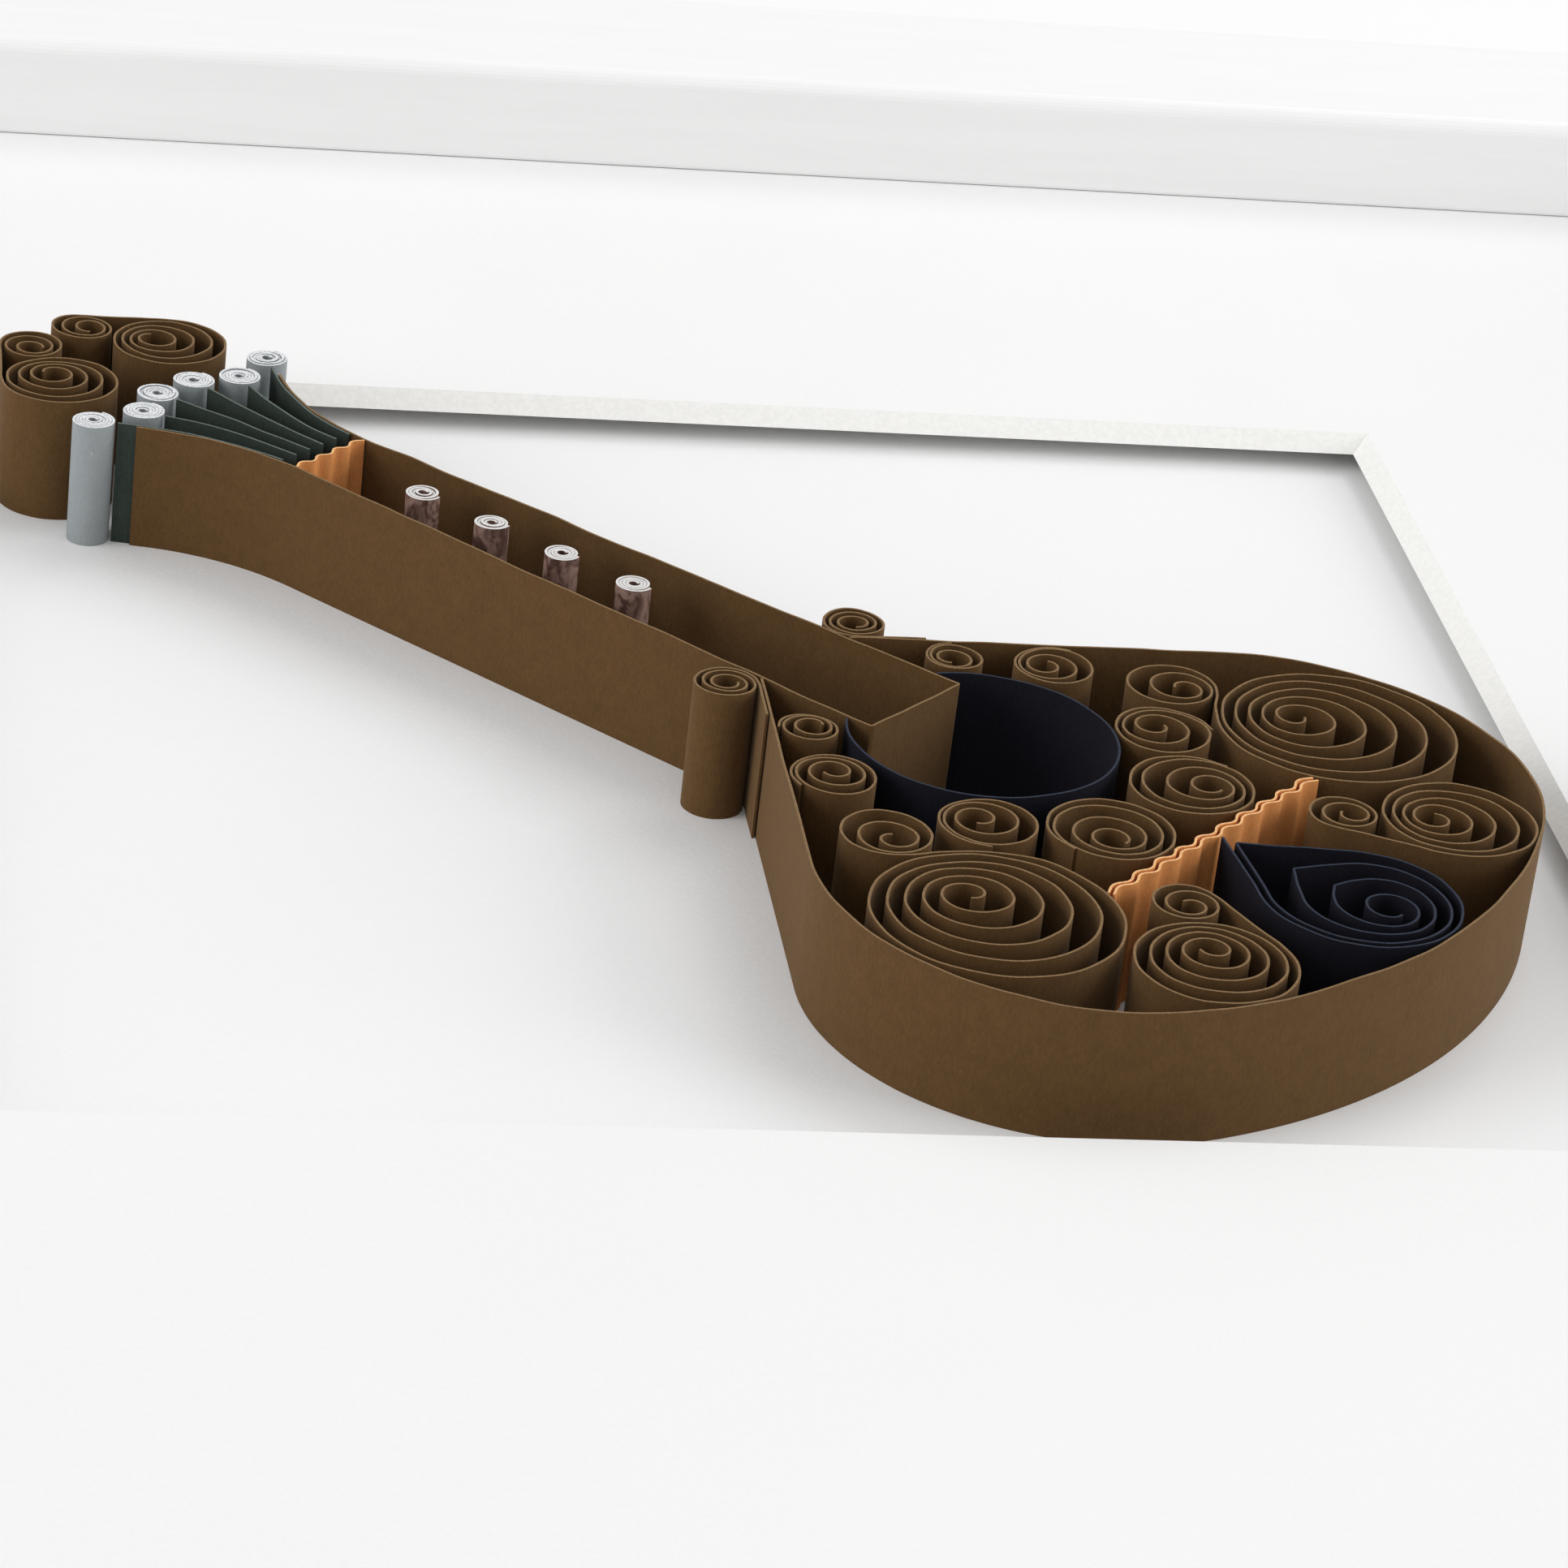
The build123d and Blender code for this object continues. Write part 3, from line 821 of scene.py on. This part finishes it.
class SolidStrip:
    """A strip's solid, read back as the line that its paper follows."""

    # Decimals at which corners of neighbouring triangles count as one
    DECIMALS = 7

    def __init__(self, node: str) -> None:
        """Read the solid of one node."""
        self.node = node
        self.low, self.high = (corner.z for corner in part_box(node))

    def rim(self) -> list[Vector]:
        """Walk round the solid's top face.

        Returns:
            The face's corners, in order.
        """
        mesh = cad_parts[self.node].data
        spots = [tuple(round(c, self.DECIMALS) for c in vertex.co.xy) for vertex in mesh.vertices]
        level = [vertex.co.z > self.high - TOLERANCE for vertex in mesh.vertices]
        sides: set[tuple] = set()
        for face in mesh.polygons:
            if all(level[index] for index in face.vertices):
                corners = [spots[index] for index in face.vertices]
                sides.update(zip(corners, corners[1:] + corners[:1]))
        ahead = {start: end for start, end in sides if (end, start) not in sides}
        walk = [next(iter(sorted(ahead)))]
        while ahead[walk[-1]] != walk[0]:
            walk.append(ahead[walk[-1]])
        return [Vector(spot) for spot in walk]

    def line(self) -> list[Vector]:
        """Find the middle of the strip. Its ends are the two shortest sides of its rim.

        Returns:
            Points half way between its two faces, from one end to the other.
        """
        rim = self.rim()
        lengths = [(rim[index - 1] - spot).length for index, spot in enumerate(rim)]
        first, second = sorted(sorted(range(len(rim)), key=lengths.__getitem__)[:2])
        left = rim[first:second]
        right = (rim[second:] + rim[:first])[::-1]
        if len(left) != len(right):
            count = max(len(left), len(right))
            left, right = even(left, count), even(right, count)
        return [(a + b) / 2 for a, b in zip(left, right)]


def even(line: Sequence[Vector], count: int) -> list[Vector]:
    """Points at even steps along a line.

    Args:
        line: The line's corners.
        count: How many points to give.

    Returns:
        The new points, with both ends kept.
    """
    spots = np.array(line)
    reach = np.concatenate([[0.0], np.cumsum(np.linalg.norm(np.diff(spots, axis=0), axis=1))])
    at = np.linspace(0.0, reach[-1], count)
    return [Vector(xy) for xy in zip(*(np.interp(at, reach, spots[:, axis]) for axis in (0, 1)))]


@dataclass
class Strip:
    """One strip of paper that stands on edge and replaces its solid."""

    node: str
    fold: Fold = Fold.CREASED
    long_run: float = 5.0 * MM
    part_run: float = 2.0 * MM

    def points(self, line: Sequence[Vector]) -> tuple[list[Vector], list[bool]]:
        """Divide a line's long straight runs, and mark its creases.

        Args:
            line: The middle of the strip.

        Returns:
            The points, and which of them are creases.
        """
        creased = [False] * len(line)
        for index in range(1, len(line) - 1):
            turn = (line[index] - line[index - 1]).angle(line[index + 1] - line[index])
            creased[index] = math.degrees(turn) > self.fold.value
        points, folds = [line[0]], [False]
        for start, end, crease in zip(line, line[1:], creased[1:]):
            run = (end - start).length
            parts = math.ceil(run / self.part_run) if run > self.long_run else 1
            points += [start.lerp(end, part / parts) for part in range(1, parts + 1)]
            folds += [False] * (parts - 1) + [crease]
        return points, folds

    def build(
        self, tree: StripTree, work: Handwork, material: bpy.types.Material, seed: float
    ) -> bpy.types.Object:
        """Make the smooth strip.

        Args:
            tree: The strips' geometry tree.
            work: How exactly the paper is set.
            material: Its paper.
            seed: Where its uneven top starts in the pattern.

        Returns:
            The strip's object.
        """
        solid = SolidStrip(self.node)
        points, folds = self.points(solid.line())
        middle = (solid.low + solid.high) / 2
        mesh = bpy.data.meshes.new(f"{self.node}_line")
        runs = [(index, index + 1) for index in range(len(points) - 1)]
        mesh.from_pydata([(*point, middle) for point in points], runs, [])
        mesh.attributes.new("creased", "BOOLEAN", "POINT").data.foreach_set("value", folds)
        sizes = {"Step": work.step, **work.sizes(solid.low, solid.high, seed, material)}
        return stand_in(self.node, mesh, tree, sizes)


@dataclass
class Roll:
    """One strip wound tight, which replaces its solid."""

    node: str
    eye: float = 0.36 * MM
    wound_paper: float = 0.21 * MM
    slack: float = 0.035 * MM
    facets: int = 44

    def build(
        self, tree: RollTree, work: Handwork, material: bpy.types.Material, seed: float
    ) -> bpy.types.Object:
        """Make the roll, as wide as its solid.

        Args:
            tree: The rolls' geometry tree.
            work: How exactly the paper is set.
            material: Its paper.
            seed: Where its uneven top starts in the pattern.

        Returns:
            The roll's object.
        """
        low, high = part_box(self.node)
        centre = (low + high) / 2
        radius = (high.x - low.x + high.y - low.y) / 4 - self.wound_paper / 2
        turns = (radius - self.eye) / (self.wound_paper + self.slack)
        sizes = {
            "Place": centre,
            "Radius": radius,
            "Eye": self.eye,
            "Turns": turns,
            "Facets": self.facets,
            **work.sizes(low.z, high.z, seed, material),
            "Paper": self.wound_paper,
        }
        return stand_in(self.node, bpy.data.meshes.new(f"{self.node}_line"), tree, sizes)


def stand_in(
    node: str, start: bpy.types.Mesh, tree: GeometryTree, sizes: Mapping[str, Any]
) -> bpy.types.Object:
    """Run a tree and let its result stand for a solid.

    Args:
        node: The solid's node.
        start: Mesh that the tree starts from.
        tree: The geometry tree.
        sizes: Its inputs.

    Returns:
        The finished piece, which rides on the frame.
    """
    host = bpy.data.objects.new(f"{node}_paper", start)
    bpy.context.scene.collection.objects.link(host)
    host.data = tree.run(host, sizes)
    host.data.name = f"{node}_paper"
    bpy.data.meshes.remove(start)
    host.data.shade_smooth()
    host.data.set_sharp_from_angle(angle=SHARP_BEND)
    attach(host, BODY)
    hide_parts(node)
    LOG.info("%s: %d faces", host.name, len(host.data.polygons))
    return host


@dataclass
class Instrument:
    """The quilled guitar: its strips, its rolls and their papers."""

    kraft: PaperFinish = PaperFinish(
        "brown_paper", face=(0.104, 0.055, 0.02), edge=(0.198, 0.122, 0.058), sheen=0.12
    )
    navy: PaperFinish = PaperFinish(
        "navy_paper", face=(0.0088, 0.0088, 0.0138), edge=(0.028, 0.034, 0.052), fleck=0.08
    )
    apricot: PaperFinish = PaperFinish(
        "apricot_paper", face=(0.72, 0.292, 0.095), edge=(0.82, 0.47, 0.215), mottle=0.08
    )
    slate: PaperFinish = PaperFinish(
        "slate_paper", face=(0.036, 0.047, 0.04), edge=(0.12, 0.145, 0.13), fleck=0.12
    )
    grey: PaperFinish = PaperFinish(
        "grey_paper", face=(0.3, 0.325, 0.335), edge=(0.74, 0.75, 0.77), mottle=0.05
    )
    marbled: MarbledFinish = MarbledFinish(
        "marbled_paper",
        ground=(0.28, 0.175, 0.14),
        vein=(0.072, 0.032, 0.024),
        edge=(0.72, 0.71, 0.7),
    )
    work: Handwork = Handwork()
    halves: tuple[str, str] = ("upper", "lower")
    fan: tuple[str, ...] = ("outer", "middle", "inner")
    frets: int = 4
    seed_step: float = 17.3
    pieces: list[bpy.types.Object] = field(default_factory=list)

    def pairs(self, *names: str) -> list[str]:
        """Nodes of pieces that come in twos across the guitar's middle."""
        return [f"{name}_{half}" for name in names for half in self.halves]

    def kraft_nodes(self) -> list[str]:
        """List the nodes of brown paper.

        Returns:
            Their names.
        """
        scrolls = ("ear_scroll", "head_scroll", "side_scroll", "tail_scroll")
        coils = ("waist_coil", "shoulder_coil", "rim_coil", "notch_coil")
        return ["body_outline", "neck_strip", *self.pairs(*scrolls, *coils)]

    def build(self) -> None:
        """Make every strip and roll."""
        fans = self.pairs(*(f"{name}_fan_strip" for name in self.fan))
        pegs = self.pairs(*(f"{name}_peg" for name in self.fan))
        frets = [f"fret_roll_{index + 1}" for index in range(self.frets)]
        ridged = ["nut_strip", "bridge_front_strip", "bridge_rear_strip"]
        strips = StripTree()
        for finish, nodes, fold in (
            (self.kraft, self.kraft_nodes(), Fold.CREASED),
            (self.navy, ["sound_hole_ring", "tail_teardrop"], Fold.CREASED),
            (self.apricot, ridged, Fold.ROUNDED),
            (self.slate, fans, Fold.CREASED),
        ):
            material = finish.material()
            for node in nodes:
                self.pieces.append(Strip(node, fold).build(strips, self.work, material, self.seed()))
        rolls = RollTree()
        for finish, nodes in ((self.grey, pegs), (self.marbled, frets)):
            material = finish.material()
            for node in nodes:
                self.pieces.append(Roll(node).build(rolls, self.work, material, self.seed()))

    def seed(self) -> float:
        """A start in the pattern of uneven tops that no other piece has."""
        return self.seed_step * len(self.pieces)


@dataclass
class BoxFrame:
    """The frame, its boards and its hanger, which keep their solids."""

    across: PaintedWood = PaintedWood("white_wood_across", Grain.ALONG_X)
    upright: PaintedWood = PaintedWood("white_wood_upright", Grain.ALONG_Y)
    mat: BoardFinish = BoardFinish("white_mat", face=(0.87, 0.87, 0.868), core=(0.9, 0.897, 0.872))
    card: BoardFinish = BoardFinish(
        "white_card", face=(0.88, 0.88, 0.882), core=(0.86, 0.86, 0.85), tooth=0.02
    )
    hardboard: PressedFinish = PressedFinish(
        "brown_hardboard", dark=(0.15, 0.078, 0.036), light=(0.27, 0.155, 0.08), span=0.7
    )
    foam: PressedFinish = PressedFinish(
        "white_foam",
        dark=(0.78, 0.78, 0.78),
        light=(0.88, 0.88, 0.88),
        span=0.35,
        roughness=0.9,
        relief=0.06,
    )
    zinc: ZincFinish = ZincFinish("bright_zinc")
    rails_across: tuple[str, str] = ("top_rail", "bottom_rail")
    rails_upright: tuple[str, str] = ("left_rail", "right_rail")
    ease: float = 0.35 * MM
    ease_segments: int = 2
    ease_angle: float = math.radians(30.0)

    def dress(self) -> None:
        """Give each solid its finish, and ease the rails' edges."""
        for finish, nodes in (
            (self.across, self.rails_across),
            (self.upright, self.rails_upright),
            (self.mat, ("window_mat",)),
            (self.card, ("backing_card",)),
            (self.hardboard, ("back_panel",)),
            (self.foam, ("mat_spacers",)),
            (self.zinc, ("hanger_plate", "hanger_rivets", "retaining_points")),
        ):
            material = finish.material()
            for node in nodes:
                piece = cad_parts[node]
                piece.data.materials.clear()
                piece.data.materials.append(material)
                LOG.info("%s: %s", node, material.name)
        for node in (*self.rails_across, *self.rails_upright):
            self.soften(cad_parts[node])

    def soften(self, piece: bpy.types.Object) -> None:
        """Round a solid's sharp edges a little, as sanding and paint do.

        Args:
            piece: The solid's object.
        """
        weld = piece.modifiers.new("weld", "WELD")
        weld.merge_threshold = TOLERANCE
        bevel = piece.modifiers.new("ease", "BEVEL")
        bevel.width = self.ease
        bevel.segments = self.ease_segments
        bevel.limit_method = "ANGLE"
        bevel.angle_limit = self.ease_angle


@dataclass(frozen=True)
class Lamp:
    """A large soft lamp that faces the picture."""

    name: str
    place: Place
    size: float
    watts: float

    def hang(self) -> None:
        """Hang the lamp."""
        light = bpy.data.lights.new(self.name, "AREA")
        light.size = self.size
        light.energy = self.watts
        lamp = bpy.data.objects.new(self.name, light)
        lamp.location = self.place
        lamp.rotation_euler = (-Vector(self.place)).to_track_quat("-Z", "Y").to_euler()
        bpy.context.scene.collection.objects.link(lamp)


@dataclass
class Studio:
    """Floor, light and camera."""

    floor_size: float = 6.0
    floor_colour: Colour = (0.9, 0.9, 0.9)
    sky: float = 0.6
    lamps: tuple[Lamp, ...] = (
        Lamp("left", place=(-1.95, -0.42, 0.85), size=1.25, watts=21.0),
        Lamp("right", place=(1.95, -0.42, 0.85), size=1.25, watts=21.0),
        Lamp("back", place=(0.62, 0.72, 1.1), size=0.8, watts=4.5),
    )
    focal_pixels: float = 6771.0
    camera_place: Place = (-61.35 * MM, -352.9 * MM, 192.2 * MM)
    yaw: float = math.radians(10.28)
    pitch: float = math.radians(26.76)
    roll: float = math.radians(6.74)
    nearest: float = 10.0 * MM

    def build(self) -> None:
        """Set up the floor, the light and the camera."""
        self.lay_floor()
        self.light_sky()
        for lamp in self.lamps:
            lamp.hang()
        self.place_camera()

    def lay_floor(self) -> None:
        """Lay a plain pale floor under the frame."""
        half = self.floor_size / 2
        corners = [(-half, -half, 0), (half, -half, 0), (half, half, 0), (-half, half, 0)]
        mesh = bpy.data.meshes.new("floor")
        mesh.from_pydata(corners, [], [range(len(corners))])
        floor = bpy.data.objects.new("floor", mesh)
        bpy.context.scene.collection.objects.link(floor)
        shader = Shader("floor")
        shader.close(Base_Color=(*self.floor_colour, 1.0), Roughness=1.0, Specular_IOR_Level=0.0)
        mesh.materials.append(shader.material)

    def light_sky(self) -> None:
        """Even soft light from all round, on a background that shows white."""
        world = bpy.data.worlds.new("studio")
        world.use_nodes = True
        sky = Graph(world.node_tree)
        path = sky.node("ShaderNodeLightPath").outputs
        seen = Value(sky, path["Is Camera Ray"]) + Value(sky, path["Is Glossy Ray"])
        seen = (seen + Value(sky, path["Is Transmission Ray"])).between(0.0, 1.0)
        level = self.sky + (1.0 - self.sky) * seen
        glow = {"Color": (1.0, 1.0, 1.0, 1.0), "Strength": level}
        light = sky.socket("ShaderNodeBackground", None, glow)
        sky.node("ShaderNodeOutputWorld", None, {"Surface": light})
        bpy.context.scene.world = world

    def place_camera(self) -> None:
        """Camera at the picture's own angle, tilted a little to one side."""
        ahead = Vector((
            math.sin(self.yaw) * math.cos(self.pitch),
            math.cos(self.yaw) * math.cos(self.pitch),
            -math.sin(self.pitch),
        ))
        level = Vector((math.cos(self.yaw), -math.sin(self.yaw), 0.0))
        upright = level.cross(ahead)
        right = level * math.cos(self.roll) + upright * math.sin(self.roll)
        up = upright * math.cos(self.roll) - level * math.sin(self.roll)
        lens = bpy.data.cameras.new("camera")
        lens.sensor_width = SENSOR_MM
        lens.lens = SENSOR_MM * self.focal_pixels / IMAGE_PIXELS
        lens.clip_start = self.nearest
        camera = bpy.data.objects.new("camera", lens)
        turn = Matrix((right, up, -ahead)).transposed().to_4x4()
        camera.matrix_world = Matrix.Translation(self.camera_place) @ turn
        bpy.context.scene.collection.objects.link(camera)
        bpy.context.scene.camera = camera


def main() -> None:
    """Build the scene in order, and log each solid's finish and each paper piece's face count."""
    logging.basicConfig(level=logging.INFO, format="%(name)s: %(message)s")
    bpy.context.scene.view_settings.view_transform = "Standard"
    BoxFrame().dress()
    Instrument().build()
    Studio().build()


if __name__ == "__main__":
    main()
